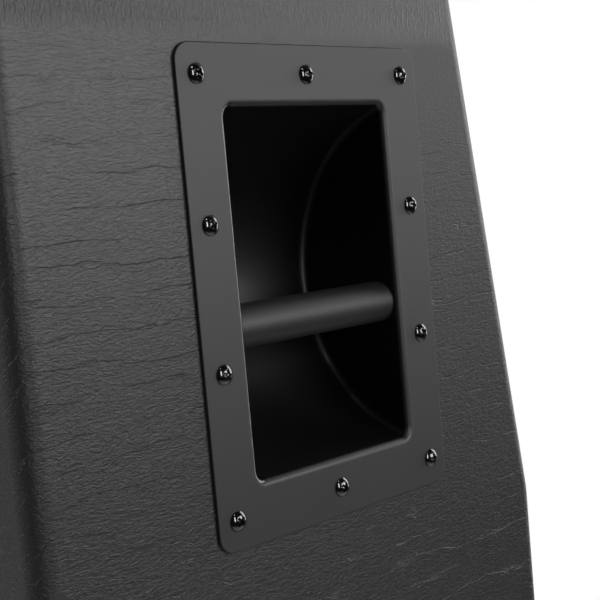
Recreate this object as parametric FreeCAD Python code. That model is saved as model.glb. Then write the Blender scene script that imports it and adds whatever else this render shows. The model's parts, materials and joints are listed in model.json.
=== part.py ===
import FreeCAD, Part
import math
import os
from FreeCAD import Placement, Rotation, Vector

# A closed-back guitar speaker cabinet with a leaning upper front and four 12 inch speakers.
# Millimetres, +Z up, front towards -Y. The origin is on the floor under the middle of the cabinet.

# Carcass, measured over the covering
cabinet_width = 760.0
cabinet_height = 760.0
cabinet_depth = 380.0
front_break_height = 380.0
front_lean_degrees = 7.76
front_break_radius = 60.0
panel_thickness = 18.0
covering_thickness = 1.0
edge_radius = 12.0
finger_count = 11

# One overrun for every cut, and the room round screws, fits and glued seams
overrun = 5.0
screw_clearance = 0.15
seam_clearance = 0.2

# Grille, from the front rim inwards
grille_recess = 14.0
grille_clearance = 2.0
cloth_thickness = 1.0
grille_frame_thickness = 12.0
grille_frame_border = 34.0
grille_brace_width = 30.0
piping_radius = 2.0
piping_bend_radius = 6.0

# Baffles, cleats and centre post
baffle_thickness = 18.0
baffle_clearance = 0.5
cleat_width = 20.0
cleat_depth = 20.0
post_width = 40.0

# Back panel
back_recess = 5.0
back_panel_thickness = 15.0
back_clearance = 1.0
back_screw_columns = 4
back_screw_rows = 4
back_screw_margin = 12.0

# Recessed bar handle, one on each side
handle_drop = 225.0
handle_setback = 7.0
handle_flange_width = 182.0
handle_flange_height = 260.0
handle_flange_corner = 10.0
handle_flange_edge = 0.8
handle_sheet = 2.0
handle_mouth_width = 121.0
handle_bowl_radius = 101.0
handle_bowl_stand_off = 25.0
handle_bowl_corner = 5.0
handle_mouth_bend = 4.2
handle_bar_radius = 12.0
handle_bar_depth = 16.0
handle_bar_drop = 17.0
handle_clearance = 3.5
handle_screw_columns = 3
handle_screw_rows = 4
handle_screw_side_margin = 13.0
handle_screw_end_margin = 16.0

# Dome-head screws of the handles, and pan-head screws of back, jack dish, corners and feet
dome_head_radius = 5.3
dome_head_height = 3.0
dome_head_rim = 0.7
dome_shank_radius = 2.2
dome_screw_length = 16.0
pan_head_radius = 4.2
pan_head_height = 2.4
pan_head_rim = 0.9
pan_shank_radius = 1.9
pan_screw_length = 14.0
screw_tip_length = 3.0

# Corner caps
cap_thickness = 1.6
cap_reach = 46.0
cap_screw_reach = 26.0

# Rubber feet
foot_height = 20.0
foot_top_radius = 21.0
foot_bottom_radius = 18.0
foot_edge = 1.5
foot_recess_radius = 9.0
foot_web = 6.0
foot_inset = 88.0
washer_radius = 8.0
washer_thickness = 1.2

# Jack dish and jack sockets
dish_drop = 144.0
dish_flange_size = 104.0
dish_flange_corner = 8.0
dish_flange_edge = 0.6
dish_wall = 2.0
dish_mouth_size = 76.0
dish_depth = 26.0
dish_corner = 12.0
dish_floor_bend = 5.0
dish_clearance = 1.5
dish_screw_margin = 8.0
jack_spacing = 36.0
jack_bushing_radius = 4.75
jack_bushing_rise = 5.0
jack_bore_radius = 3.25
jack_bore_depth = 30.0
jack_body_size = 22.0
jack_body_length = 27.0
jack_nut_radius = 7.0
jack_nut_thickness = 2.5
jack_nut_sides = 6

# Speakers: room on the baffles, then the frame
speaker_gap = 41.0
speaker_side_margin = 11.5
speaker_end_margin = 4.0
speaker_rim_width = 18.5
speaker_sheet = 1.6
baffle_lap = 13.0
gasket_thickness = 3.0
spider_ledge_radius = 67.0
spider_ledge_width = 9.0
spider_ledge_depth = 70.0
basket_depth = 88.0
basket_hole_radius = 30.0
basket_window_count = 6
basket_window_front = 24.0
basket_window_back = 60.0
basket_arm_degrees = 22.0

# Speaker bolts and T-nuts
bolt_count = 4
bolt_rim_margin = 6.3
bolt_radius = 2.5
bolt_head_radius = 4.5
bolt_head_height = 3.0
tee_flange_radius = 9.0
tee_flange_thickness = 1.5
tee_barrel_wall = 0.9
tee_barrel_length = 9.0

# Cone, dust cap, voice coil and suspension
cone_sheet = 0.9
cone_depth = 60.0
cone_collar = 5.0
coil_radius = 22.8
coil_wall = 0.8
coil_length = 36.0
dust_cap_radius = 38.0
dust_cap_rise = 13.0
surround_border = 6.0
surround_width = 10.0
surround_sheet = 0.8
surround_rolls = 2
spider_sheet = 0.6
spider_rolls = 5
roll_rise_share = 0.3
roll_crest_share = 0.4

# Magnet assembly and terminal block
magnet_radius = 78.0
magnet_hole_radius = 32.0
magnet_thickness = 20.0
plate_radius = 71.0
plate_thickness = 8.0
pole_radius = 21.0
gap_radius = 23.8
plate_edge = 1.0
terminal_width = 26.0
terminal_height = 9.0
terminal_depth = 7.0
tag_width = 5.0
tag_length = 9.0
tag_thickness = 0.8

# Places worked out from the sizes above
lean = math.radians(front_lean_degrees)
half_width = cabinet_width / 2
front_y = -cabinet_depth / 2
back_y = cabinet_depth / 2
base_z = foot_height
roof_z = base_z + cabinet_height
break_z = base_z + front_break_height
wall = covering_thickness + panel_thickness
inner_half_width = half_width - wall
lined_half_width = inner_half_width - covering_thickness
floor_z = base_z + wall
ceiling_z = roof_z - wall
cloth_back = grille_recess + cloth_thickness
baffle_front = cloth_back + grille_frame_thickness
baffle_back = baffle_front + baffle_thickness
back_outer_y = back_y - back_recess
back_inner_y = back_outer_y - back_panel_thickness
handle_face_x = -half_width - handle_sheet
handle_y = -handle_setback
handle_z = roof_z - handle_drop
dish_z = break_z - dish_drop
dish_face_y = back_outer_y + dish_wall
dish_floor_y = dish_face_y - dish_depth
rim_back = gasket_thickness + speaker_sheet
magnet_front = basket_depth + speaker_sheet
sides = (-1, 1)

# The speakers are as large as the baffles leave room for, in width and along each front section
mitre_reach = baffle_back * math.tan(lean / 2)
lower_room = (break_z - floor_z - mitre_reach) / 2
upper_room = ((ceiling_z - break_z + baffle_back * math.sin(lean)) / math.cos(lean) - mitre_reach) / 2
end_room = min(lower_room, upper_room) - cleat_width - speaker_end_margin
side_room = (inner_half_width - cleat_width - speaker_side_margin - speaker_gap / 2) / 2
speaker_rim_radius = min(side_room, end_room)
speaker_x = speaker_gap / 2 + speaker_rim_radius
baffle_hole_radius = speaker_rim_radius - baffle_lap
basket_radius = speaker_rim_radius - speaker_rim_width
bolt_circle_radius = speaker_rim_radius - bolt_rim_margin
cone_radius = basket_radius - surround_width


# Helpers

def box(x0, x1, y0, y1, z0, z1):
    return Part.makeBox(x1 - x0, y1 - y0, z1 - z0, Vector(x0, y0, z0))


def rod(radius, z0, z1):
    return Part.makeCylinder(radius, z1 - z0, Vector(0, 0, z0))


def ring(outer_radius, inner_radius, z0, z1):
    return rod(outer_radius, z0, z1).cut(rod(inner_radius, z0 - overrun, z1 + overrun))


def extruded(outline, x0, x1):
    """Solid between two X planes from an outline of points in the YZ plane."""
    shift = Vector(x0, 0, 0)
    corners = [point + shift for point in outline]
    face = Part.Face(Part.makePolygon(corners + corners[:1]))
    return face.extrude(Vector(x1 - x0, 0, 0))


def path_edges(points):
    return [Part.makeLine(start, end) for start, end in zip(points, points[1:])]


def sheet_path(points):
    return path_edges([Vector(radius, 0, z) for radius, z in points])


def dome_edge(radius, rim_z, crown_z):
    """Arc of a round dome, in the XZ plane, from its rim to its crown on the Z axis."""
    rise = abs(crown_z - rim_z)
    ball_radius = (radius**2 + rise**2) / (2 * rise)
    half_angle = math.asin(radius / ball_radius) / 2
    drop = ball_radius * (1 - math.cos(half_angle))
    crest_z = crown_z + drop * (rim_z - crown_z) / rise
    crest = Vector(ball_radius * math.sin(half_angle), 0, crest_z)
    return Part.Arc(Vector(radius, 0, rim_z), crest, Vector(0, 0, crown_z)).toShape()


def turned(edges):
    """Solid turned round the Z axis from edges that close an outline in the XZ plane."""
    face = Part.Face(Part.Wire(Part.__sortEdges__(edges)))
    return face.revolve(Vector(0, 0, 0), Vector(0, 0, 1), 360).Solids[0]


def turned_polygon(points):
    return turned(sheet_path(points + points[:1]))


def turned_sheet(edges, thickness):
    """Thin shell turned round the Z axis: the edges are one skin, the other lies a thickness behind it."""
    shift = Vector(0, 0, thickness)
    skin = Part.Wire(Part.__sortEdges__(edges))
    back = skin.translated(shift)
    ends = [skin.OrderedVertexes[0].Point, skin.OrderedVertexes[-1].Point]
    closing = [Part.makeLine(point, point + shift) for point in ends]
    return turned(skin.Edges + back.Edges + closing)


def seated(shape, position, direction):
    """Copy of a shape that was made along +Z, standing at a position and facing a direction."""
    return placed(shape, Placement(position, Rotation(Vector(0, 0, 1), direction)))


def placed(shape, placement):
    copy = shape.copy()
    copy.Placement = placement.multiply(shape.Placement)
    return copy


def mirrored(shape):
    return shape.mirror(Vector(0, 0, 0), Vector(1, 0, 0))


def cut_all(shape, tools):
    result = shape.cut(list(tools))
    return result.Solids[0] if len(result.Solids) == 1 else result


def side_name(x):
    return "right" if x > 0 else "left"


def end_name(y):
    return "back" if y > 0 else "front"


def level_name(upper):
    return "upper" if upper else "lower"


def export(node, solids):
    shape = solids[0] if len(solids) == 1 else Part.makeCompound(solids)
    shape.exportStep(f"parts/{node}.step")


def perimeter_grid(half_across, half_up, columns, rows):
    """Places round the border of a rectangle, as on an evenly divided grid without its inner places."""
    across = [half_across * (2 * index / (columns - 1) - 1) for index in range(columns)]
    up = [half_up * (2 * index / (rows - 1) - 1) for index in range(rows)]
    return [(a, b) for a in across for b in up if a in (across[0], across[-1]) or b in (up[0], up[-1])]


# Screws and their holes

def headed_screw(head_radius, head_height, head_rim, shank_radius, length):
    """Screw along +Z with the underside of its domed head at zero."""
    outline = sheet_path([
        (0, head_height),
        (0, -length),
        (shank_radius, screw_tip_length - length),
        (shank_radius, 0),
        (head_radius, 0),
        (head_radius, head_rim),
    ])
    return turned(outline + [dome_edge(head_radius, head_rim, head_height)])


def dome_screw(length):
    return headed_screw(dome_head_radius, dome_head_height, dome_head_rim, dome_shank_radius, length)


def pan_screw(length):
    return headed_screw(pan_head_radius, pan_head_height, pan_head_rim, pan_shank_radius, length)


def screw_hole(shank_radius, length):
    return rod(shank_radius + screw_clearance, -length - screw_clearance, overrun)


def holes(places, shank_radius, length):
    hole = screw_hole(shank_radius, length)
    return [seated(hole, position, direction) for position, direction in places]


def screws(screw, places):
    return [seated(screw, position, direction) for position, direction in places]


def handle_screw_places():
    half_across = handle_flange_width / 2 - handle_screw_side_margin
    half_up = handle_flange_height / 2 - handle_screw_end_margin
    grid = perimeter_grid(half_across, half_up, handle_screw_columns, handle_screw_rows)
    return [
        (Vector(-side * handle_face_x, handle_y + across, handle_z + up), Vector(side, 0, 0))
        for side in sides
        for across, up in grid
    ]


def foot_places():
    return [
        Vector(side * (half_width - foot_inset), end * (back_y - foot_inset), 0)
        for end in sides
        for side in sides
    ]


def foot_screw_places():
    head_z = foot_height - foot_web - washer_thickness
    return [(place + Vector(0, 0, head_z), Vector(0, 0, -1)) for place in foot_places()]


def back_screw_places():
    half_across = lined_half_width - back_clearance - back_screw_margin
    half_up = (ceiling_z - floor_z) / 2 - covering_thickness - back_clearance - back_screw_margin
    middle_z = (ceiling_z + floor_z) / 2
    grid = perimeter_grid(half_across, half_up, back_screw_columns, back_screw_rows)
    border = [Vector(across, back_outer_y, middle_z + up) for across, up in grid]
    post = Vector(0, back_outer_y, post_middle_z())
    return [(position, Vector(0, 1, 0)) for position in border + [post]]


def back_screw_length():
    return back_panel_thickness + pan_screw_length


def dish_screw_places():
    reach = dish_flange_size / 2 - dish_screw_margin
    return [
        (Vector(across * reach, dish_face_y, dish_z + up * reach), Vector(0, 1, 0))
        for across in sides
        for up in sides
    ]


def corner_centres():
    """Middles of the rounded corners of the carcass, with the way out of the cabinet along X, Y and Z."""
    centres = []
    for side in sides:
        for end in sides:
            for up in sides:
                z = roof_z - edge_radius if up > 0 else base_z + edge_radius
                y = back_y - edge_radius if end > 0 else front_line_y(z, edge_radius)
                centres.append((Vector(side * (half_width - edge_radius), y, z), side, end, up))
    return centres


def corner_screw_places():
    """One screw on the side flap and one on the top or bottom flap of each corner cap."""
    step = cap_screw_reach * math.sqrt(1 / 2)
    rise = edge_radius + cap_thickness
    places = []
    for centre, side, end, up in corner_centres():
        side_out = Vector(side, 0, 0)
        up_out = Vector(0, 0, up)
        places.append((centre + side_out * rise - Vector(0, end * step, up * step), side_out))
        places.append((centre + up_out * rise - Vector(side * step, end * step, 0), up_out))
    return places


# Front geometry: the lower front is upright and the upper front leans back from the break

def front_line_y(z, inset):
    """Y of the front plane, moved inwards by an inset, at a height above or below the break."""
    inset_break_z = break_z - inset * math.tan(lean / 2)
    return front_y + inset + max(0, z - inset_break_z) * math.tan(lean)


def front_point(upper, along, depth):
    """Point of a front section: along runs from the break to the far end, depth goes into the cabinet."""
    if upper:
        y = along * math.sin(lean) + depth * math.cos(lean)
        return Vector(0, front_y + y, break_z + along * math.cos(lean) - depth * math.sin(lean))
    return Vector(0, front_y + depth, break_z - along)


def far_end(upper, depth, gap):
    """Distance along a front section from the break to the top or bottom panel, less a gap."""
    if upper:
        return (ceiling_z - gap - break_z + depth * math.sin(lean)) / math.cos(lean)
    return break_z - floor_z - gap


def mitre(depth, gap):
    """Distance along a front section from the break to the mitre between the two sections, plus a gap."""
    return depth * math.tan(lean / 2) + gap


def front_slab(upper, near, far, x0, x1, end_gap, mitre_gap):
    """Slab between two depths behind the front, from the mitre at the break to the far end."""
    outline = [
        front_point(upper, mitre(near, mitre_gap), near),
        front_point(upper, far_end(upper, near, end_gap), near),
        front_point(upper, far_end(upper, far, end_gap), far),
        front_point(upper, mitre(far, mitre_gap), far),
    ]
    return extruded(outline, x0, x1)


# Carcass

def cabinet_prism(inset, radius):
    """Cabinet body with every outer edge rounded, moved inwards from the covering by an inset."""
    bottom = base_z + inset
    top = roof_z - inset
    break_point_z = break_z - inset * math.tan(lean / 2)
    bend_radius = front_break_radius - inset
    bend_length = bend_radius * math.tan(lean / 2)
    lower_bend = Vector(0, front_y + inset, break_point_z - bend_length)
    bend_centre = lower_bend + Vector(0, bend_radius, 0)
    middle_bend = bend_centre + Vector(0, -math.cos(lean / 2), math.sin(lean / 2)) * bend_radius
    upper_bend = bend_centre + Vector(0, -math.cos(lean), math.sin(lean)) * bend_radius
    front_top = Vector(0, front_line_y(top, inset), top)
    back_top = Vector(0, back_y - inset, top)
    back_bottom = Vector(0, back_y - inset, bottom)
    front_bottom = Vector(0, front_y + inset, bottom)
    outline = path_edges([upper_bend, front_top, back_top, back_bottom, front_bottom, lower_bend])
    outline.append(Part.Arc(lower_bend, middle_bend, upper_bend).toShape())
    face = Part.Face(Part.Wire(outline)).translated(Vector(inset - half_width, 0, 0))
    prism = face.extrude(Vector(cabinet_width - 2 * inset, 0, 0))
    bend_ends = (lower_bend, upper_bend)
    rounded = [edge for edge in prism.Edges if not is_bend_edge(edge, bend_ends)]
    return prism.makeFillet(radius, rounded).Solids[0]


def is_bend_edge(edge, bend_ends):
    """True for the edges along X where the soft bend of the front runs into the flat faces."""
    start = edge.Vertexes[0].Point
    end = edge.Vertexes[-1].Point
    at_bend = any(math.hypot(start.y - p.y, start.z - p.z) < seam_clearance for p in bend_ends)
    return at_bend and abs(start.x - end.x) > edge_radius


def cavity(half, lining):
    """Hollow of the carcass, open to the front and the back."""
    return box(-half, half, front_y - overrun, back_y + overrun, floor_z + lining, ceiling_z - lining)


def finger_boxes(z0, z1, first_y):
    """Every second finger of the joints in the two corners of the top or bottom panel."""
    pitch = (back_y - first_y) / finger_count
    blocks = []
    for index in range(1, finger_count, 2):
        y0 = first_y + index * pitch
        for side in sides:
            x0, x1 = sorted((side * inner_half_width, side * (half_width + overrun)))
            blocks.append(box(x0, x1, y0, y0 + pitch, z0, z1))
    return blocks


def carcass_panels():
    """Left and right sides, top and bottom, finger-jointed at the four long corners."""
    tube = cabinet_prism(covering_thickness, edge_radius - covering_thickness)
    tube = tube.cut(cavity(inner_half_width, 0))
    top_fingers = finger_boxes(ceiling_z, roof_z, front_line_y(roof_z, 0))
    bottom_fingers = finger_boxes(base_z, floor_z, front_y)
    far_x = half_width + overrun
    span = (front_y - overrun, back_y + overrun)
    top_region = box(-inner_half_width, inner_half_width, *span, ceiling_z, roof_z)
    bottom_region = box(-inner_half_width, inner_half_width, *span, base_z, floor_z)
    left_region = box(-far_x, -inner_half_width, *span, base_z, roof_z).cut(top_fingers + bottom_fingers)
    right_region = box(inner_half_width, far_x, *span, base_z, roof_z).cut(top_fingers + bottom_fingers)
    regions = {
        "left_side_panel": left_region,
        "right_side_panel": right_region,
        "top_panel": top_region.fuse(top_fingers),
        "bottom_panel": bottom_region.fuse(bottom_fingers),
    }
    tools = handle_cuts() + corner_holes() + foot_holes()
    return {node: cut_all(tube.common(region).removeSplitter(), tools) for node, region in regions.items()}


def covering():
    """Vinyl round the whole carcass, turned in over the front and back rims as a lining."""
    wood = cabinet_prism(covering_thickness, edge_radius - covering_thickness)
    wood = wood.cut(cavity(inner_half_width, 0))
    skin = cabinet_prism(0, edge_radius).cut(cavity(lined_half_width, covering_thickness))
    bare_middle = [
        Vector(0, front_y + baffle_front, floor_z),
        front_point(False, mitre(baffle_front, 0), baffle_front),
        front_point(True, far_end(True, baffle_front, 0), baffle_front),
        Vector(0, back_inner_y, ceiling_z),
        Vector(0, back_inner_y, floor_z),
    ]
    middle = extruded(bare_middle, -inner_half_width, inner_half_width)
    skin = skin.cut([wood, middle])
    return cut_all(skin, handle_cuts() + corner_holes() + foot_holes())


def corner_holes():
    return holes(corner_screw_places(), pan_shank_radius, pan_screw_length)


def foot_holes():
    return holes(foot_screw_places(), pan_shank_radius, foot_screw_length())


def foot_screw_length():
    return foot_web + washer_thickness + pan_screw_length


# Baffles, cleats, post and back

def speaker_along(upper):
    """Distance from the break to the speakers' centres, half way between the mitre and the far panel."""
    return (mitre(baffle_back, 0) + far_end(upper, baffle_back, 0)) / 2


def speaker_seat(shape, upper, side):
    """Speaker piece that was made along +Z, set on the back of its baffle and facing into the cabinet."""
    position = front_point(upper, speaker_along(upper), baffle_back)
    position.x = side * speaker_x
    turn = -90 - front_lean_degrees if upper else -90
    return placed(shape, Placement(position, Rotation(Vector(1, 0, 0), turn)))


def bolt_angles():
    return [360 * (index + 1 / 2) / bolt_count for index in range(bolt_count)]


def bolt_offsets():
    angles = [math.radians(angle) for angle in bolt_angles()]
    return [Vector(math.cos(angle), math.sin(angle), 0) * bolt_circle_radius for angle in angles]


def baffle(upper):
    half = inner_half_width - baffle_clearance
    board = front_slab(upper, baffle_front, baffle_back, -half, half, baffle_clearance, 0)
    mouth = rod(baffle_hole_radius, -baffle_thickness - overrun, overrun)
    barrel = rod(tee_barrel_radius() + screw_clearance, -baffle_thickness - overrun, overrun)
    tools = [mouth] + [barrel.translated(offset) for offset in bolt_offsets()]
    return cut_all(board, [speaker_seat(tool, upper, side) for side in sides for tool in tools])


def baffle_cleats():
    """Strips glued to the panels behind the baffles: two sides for each baffle, one top and one bottom."""
    depth = baffle_back + cleat_depth
    inner_x = inner_half_width - cleat_width
    strips = []
    for upper in (False, True):
        for side in sides:
            x0, x1 = sorted((side * inner_x, side * inner_half_width))
            strips.append(front_slab(upper, baffle_back, depth, x0, x1, 0, 0))
        whole = front_slab(upper, baffle_back, depth, -inner_x, inner_x, 0, 0)
        rest = front_slab(upper, baffle_back, depth, -inner_x, inner_x, cleat_width, 0)
        strips.append(whole.cut(rest).Solids[0])
    return strips


def back_cleats():
    """Strips glued to the panels in front of the back panel."""
    y0 = back_inner_y - cleat_depth
    inner_x = inner_half_width - cleat_width
    strips = [
        box(-inner_half_width, -inner_x, y0, back_inner_y, floor_z, ceiling_z),
        box(inner_x, inner_half_width, y0, back_inner_y, floor_z, ceiling_z),
        box(-inner_x, inner_x, y0, back_inner_y, floor_z, floor_z + cleat_width),
        box(-inner_x, inner_x, y0, back_inner_y, ceiling_z - cleat_width, ceiling_z),
    ]
    tools = holes(back_screw_places(), pan_shank_radius, back_screw_length())
    return [cut_all(strip, tools) for strip in strips]


def post_middle_z():
    return front_point(False, mitre(baffle_back, 0), baffle_back).z


def centre_post():
    """Brace from the joint of the two baffles to the middle of the back panel."""
    half = post_width / 2
    low = front_point(False, mitre(baffle_back, half), baffle_back)
    middle = front_point(False, mitre(baffle_back, 0), baffle_back)
    high = front_point(True, mitre(baffle_back, half), baffle_back)
    outline = [low, middle, high, Vector(0, back_inner_y, high.z), Vector(0, back_inner_y, low.z)]
    post = extruded(outline, -half, half)
    return cut_all(post, holes(back_screw_places(), pan_shank_radius, back_screw_length()))


def back_panel():
    """Plywood back and the vinyl that wraps its outer face and its edges."""
    half = lined_half_width - back_clearance
    bottom = floor_z + covering_thickness + back_clearance
    top = ceiling_z - covering_thickness - back_clearance
    skin = covering_thickness
    whole = box(-half, half, back_inner_y, back_outer_y, bottom, top)
    board = box(skin - half, half - skin, back_inner_y, back_outer_y - skin, bottom + skin, top - skin)
    tools = holes(back_screw_places(), pan_shank_radius, back_screw_length())
    tools += holes(dish_screw_places(), pan_shank_radius, pan_screw_length)
    tools.append(dish_block(dish_wall + dish_clearance))
    return cut_all(board, tools), cut_all(whole.cut(board), tools)


# Grille

def grille_half_width():
    return lined_half_width - grille_clearance


def grille_slab(upper, near, far, inset):
    """Slab that fills the lined front opening but for the room for the piping and an inset."""
    half = grille_half_width() - inset
    gap = grille_clearance + inset
    return front_slab(upper, near, far, -half, half, covering_thickness + gap, gap)


def grille_frame(upper):
    """Wooden frame with a middle brace between two windows."""
    frame = grille_slab(upper, cloth_back, baffle_front, cloth_thickness)
    window = grille_slab(
        upper, cloth_back - overrun, baffle_front + overrun, cloth_thickness + grille_frame_border
    )
    half_brace = grille_brace_width / 2
    brace = box(-half_brace, half_brace, front_y, back_y, base_z, roof_z)
    return cut_all(frame, [window.cut(brace)])


def grille_cloth(upper):
    """Cloth stretched over the front of the frame and round its edges to the baffle."""
    cover = grille_slab(upper, grille_recess, baffle_front, 0)
    return cut_all(cover, [grille_slab(upper, cloth_back, baffle_front + overrun, cloth_thickness)])


def piping(upper):
    """Bead that runs round the grille in the seam between the cloth and the lining."""
    depth = grille_recess - piping_radius - seam_clearance
    gap = piping_radius + seam_clearance
    half = lined_half_width - gap
    near = mitre(depth, gap)
    far = far_end(upper, depth, covering_thickness + gap)
    corners = [(-half, near), (half, near), (half, far), (-half, far)]
    path = rounded_loop([front_point(upper, along, depth) + Vector(x, 0, 0) for x, along in corners])
    first = path.Edges[0]
    start = first.valueAt(first.FirstParameter)
    section = Part.makeCircle(piping_radius, start, first.tangentAt(first.FirstParameter))
    return path.makePipeShell([Part.Wire(section)], True, False).Solids[0]


def rounded_loop(points):
    """Closed path through corner points with an arc of the piping's bend radius at each corner."""
    bends = []
    for index, corner in enumerate(points):
        back = (points[index - 1] - corner).normalize()
        ahead = (points[(index + 1) % len(points)] - corner).normalize()
        half_angle = back.getAngle(ahead) / 2
        tangent = piping_bend_radius / math.tan(half_angle)
        crown = (back + ahead).normalize() * piping_bend_radius * (1 / math.sin(half_angle) - 1)
        bends.append((corner + back * tangent, corner + crown, corner + ahead * tangent))
    edges = []
    for bend, following in zip(bends, bends[1:] + bends[:1]):
        edges.append(Part.makeLine(bend[2], following[0]))
        edges.append(Part.Arc(*following).toShape())
    return Part.Wire(edges)


# Handle, modelled on the left side and mirrored to the right

def bowl(skin):
    """Cylindrical bowl with flat ends: the space inside the sheet or, with a skin, its outside."""
    half = handle_mouth_width / 2 + skin
    radius = handle_bowl_radius + skin
    axis_x = handle_face_x - handle_bowl_stand_off
    drum = Part.makeCylinder(radius, 2 * half, Vector(axis_x, handle_y - half, handle_z), Vector(0, 1, 0))
    ends = [edge for edge in drum.Edges if edge.Closed]
    drum = drum.makeFillet(handle_bowl_corner + skin, ends)
    front_x = handle_face_x if skin else handle_face_x - overrun
    span = (handle_y - half - overrun, handle_y + half + overrun)
    rise = (handle_z - radius - overrun, handle_z + radius + overrun)
    return drum.common(box(front_x, axis_x + radius + overrun, *span, *rise))


def handle_block(x0, x1, half_across, half_up, corner):
    """Block against the side of the cabinet with its four edges along X rounded."""
    span = (handle_y - half_across, handle_y + half_across)
    block = box(x0, x1, *span, handle_z - half_up, handle_z + half_up)
    return block.makeFillet(corner, [edge for edge in block.Edges if abs(edge.tangentAt(0).x) > 1 / 2])


def handle_dish():
    """Pressed dish: a flat flange whose mouth bends over into the bowl."""
    half_across = handle_flange_width / 2
    half_up = handle_flange_height / 2
    flange = handle_block(handle_face_x, -half_width, half_across, half_up, handle_flange_corner)
    flange = flange.makeFillet(handle_flange_edge, edges_at(flange, handle_face_x))
    dish = flange.fuse(bowl(handle_sheet)).cut(bowl(0))
    dish = dish.makeFillet(handle_mouth_bend, mouth_edges(dish, handle_face_x, 0))
    dish = dish.makeFillet(handle_mouth_bend - handle_sheet, mouth_edges(dish, -half_width, handle_sheet))
    return cut_all(dish, holes(handle_screw_places(), dome_shank_radius, dome_screw_length))


def edges_at(shape, x):
    """Edges that lie in the plane across X at a place."""
    def is_in_plane(edge):
        points = [edge.CenterOfMass] + [vertex.Point for vertex in edge.Vertexes]
        return all(abs(point.x - x) < seam_clearance for point in points)
    return [edge for edge in shape.Edges if is_in_plane(edge)]


def mouth_edges(shape, x, skin):
    """Edges round the mouth in the front or the back of the flange, where the bowl with a skin leaves it."""
    def is_at_mouth(point):
        across = abs(point.y - handle_y) - handle_mouth_width / 2 - skin
        return across < seam_clearance and abs(point.z - handle_z) < handle_bowl_radius + skin
    return [edge for edge in edges_at(shape, x) if is_at_mouth(edge.CenterOfMass)]


def handle_bar():
    """Grip bar welded between the two end walls of the bowl."""
    end_y = handle_y - handle_mouth_width / 2
    start = Vector(handle_face_x + handle_bar_depth, end_y, handle_z - handle_bar_drop)
    return Part.makeCylinder(handle_bar_radius, handle_mouth_width, start, Vector(0, 1, 0))


def handle_cuts():
    """Openings and screw holes for both handles in the side panels and their covering."""
    outer_radius = handle_bowl_radius + handle_sheet
    half_across = handle_mouth_width / 2 + handle_sheet + handle_clearance
    half_up = math.sqrt(outer_radius**2 - handle_bowl_stand_off**2) + handle_clearance
    span = (-half_width - overrun, overrun - inner_half_width)
    opening = handle_block(*span, half_across, half_up, handle_bowl_corner)
    return [opening, mirrored(opening)] + holes(handle_screw_places(), dome_shank_radius, dome_screw_length)


# Corner caps and feet

def corner_caps():
    """Caps that follow the rounded corners, trimmed to the front and back rims."""
    shell = cabinet_prism(-cap_thickness, edge_radius + cap_thickness)
    body = cabinet_prism(0, edge_radius)
    tools = [body, cavity(lined_half_width, covering_thickness)] + corner_holes()
    caps = {}
    for centre, side, end, up in corner_centres():
        level = "top" if up > 0 else "bottom"
        blank = shell.common(Part.makeSphere(cap_reach, centre))
        caps[f"{level}_{end_name(end)}_{side_name(side)}_corner_cap"] = cut_all(blank, tools)
    return caps


def foot():
    """Rubber foot with a deep recess for its screw and washer."""
    hole = pan_shank_radius + screw_clearance
    recess_top = foot_height - foot_web
    return turned_polygon([
        (hole, foot_height),
        (foot_top_radius, foot_height),
        (foot_bottom_radius, foot_edge),
        (foot_bottom_radius - foot_edge, 0),
        (foot_recess_radius, 0),
        (foot_recess_radius, recess_top),
        (hole, recess_top),
    ])


def foot_fasteners():
    hole = pan_shank_radius + screw_clearance
    recess_top = foot_height - foot_web
    washer = ring(washer_radius, hole, recess_top - washer_thickness, recess_top)
    washers = [washer.translated(place) for place in foot_places()]
    return screws(pan_screw(foot_screw_length()), foot_screw_places()) + washers


# Jack dish and sockets

def dish_block(skin):
    """Block of the dish's inside or, with a skin, of its outside, rounded along Y and at its floor."""
    half = dish_mouth_size / 2 + skin
    floor_y = dish_floor_y - skin
    mouth_y = dish_face_y if skin == dish_wall else dish_face_y + overrun
    block = box(-half, half, floor_y, mouth_y, dish_z - half, dish_z + half)
    block = block.makeFillet(dish_corner + skin, edges_along_y(block))
    floor = [edge for edge in block.Edges if edge.BoundBox.YMax < floor_y + seam_clearance]
    return block.makeFillet(dish_floor_bend + skin, floor)


def edges_along_y(shape):
    return [edge for edge in shape.Edges if abs(edge.tangentAt(0).y) > 1 / 2]


def jack_dish():
    """Moulded cup with a square flange, drilled for two sockets and four screws."""
    half = dish_flange_size / 2
    flange = box(-half, half, back_outer_y, dish_face_y, dish_z - half, dish_z + half)
    flange = flange.makeFillet(dish_flange_corner, edges_along_y(flange))
    face = [edge for edge in flange.Edges if edge.BoundBox.YMin > dish_face_y - seam_clearance]
    flange = flange.makeFillet(dish_flange_edge, face)
    dish = flange.fuse(dish_block(dish_wall)).cut(dish_block(0))
    hole = rod(jack_bushing_radius + screw_clearance, -overrun, dish_wall + overrun)
    tools = [seated(hole, place, Vector(0, -1, 0)) for place in jack_places()]
    return cut_all(dish, tools + holes(dish_screw_places(), pan_shank_radius, pan_screw_length))


def jack_places():
    return [Vector(side * jack_spacing / 2, dish_floor_y, dish_z) for side in sides]


def jack_socket():
    """Socket along +Z from the dish's floor: bushing, body behind the floor and a blind bore."""
    half = jack_body_size / 2
    body_top = -dish_wall
    body = box(-half, half, -half, half, body_top - jack_body_length, body_top)
    bushing = rod(jack_bushing_radius, body_top, jack_bushing_rise)
    bore = rod(jack_bore_radius, jack_bushing_rise - jack_bore_depth, jack_bushing_rise + overrun)
    return cut_all(body.fuse(bushing), [bore])


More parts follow.
